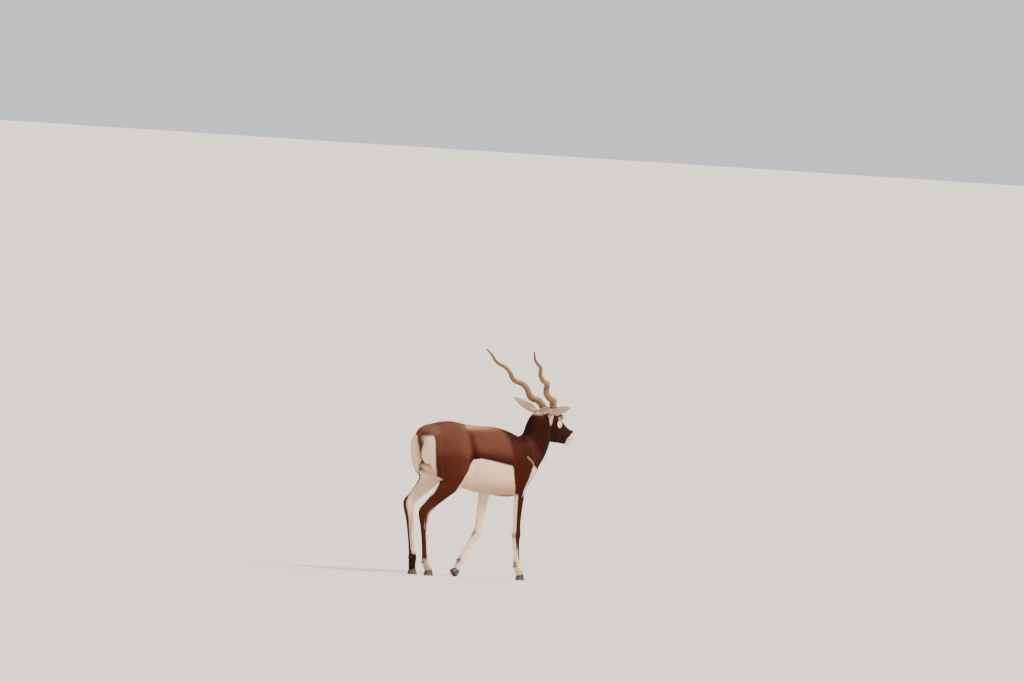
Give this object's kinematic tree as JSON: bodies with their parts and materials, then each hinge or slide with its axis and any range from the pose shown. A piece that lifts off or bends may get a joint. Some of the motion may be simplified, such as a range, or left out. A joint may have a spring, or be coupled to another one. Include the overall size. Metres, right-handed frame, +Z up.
{
  "type": "blackbuck",
  "caption": "Adult male blackbuck as a still, life-size model: ringed spiral horns, head turned to its left, the left front foot drawn back onto its toe.",
  "frame": {"origin": "middle of the bounding box at floor level", "axes": "+X the way the body faces, +Y the animal's left, +Z up"},
  "size_m": [1.0968, 0.4346, 1.2368],
  "materials": {
    "dark_coat": "short flat fur, chocolate brown above and white below",
    "pale_coat": "short pale grey-brown fur",
    "horn": "ringed horn, satin",
    "hoof": "dark horn, satin",
    "eye": "wet, polished"
  },
  "bodies": {
    "root": {"torso": "dark_coat", "neck": "dark_coat", "head": "dark_coat", "tail": "dark_coat", "ear_left": "pale_coat", "ear_right": "pale_coat", "eye_left": "eye", "eye_right": "eye", "horn_left": "horn", "horn_right": "horn", "front_left_leg": "dark_coat", "front_right_leg": "dark_coat", "hind_left_leg": "dark_coat", "hind_right_leg": "dark_coat", "front_left_hoof_outer": "hoof", "front_left_hoof_inner": "hoof", "front_right_hoof_outer": "hoof", "front_right_hoof_inner": "hoof", "hind_left_hoof_outer": "hoof", "hind_left_hoof_inner": "hoof", "hind_right_hoof_outer": "hoof", "hind_right_hoof_inner": "hoof"}
  },
  "joints": []
}
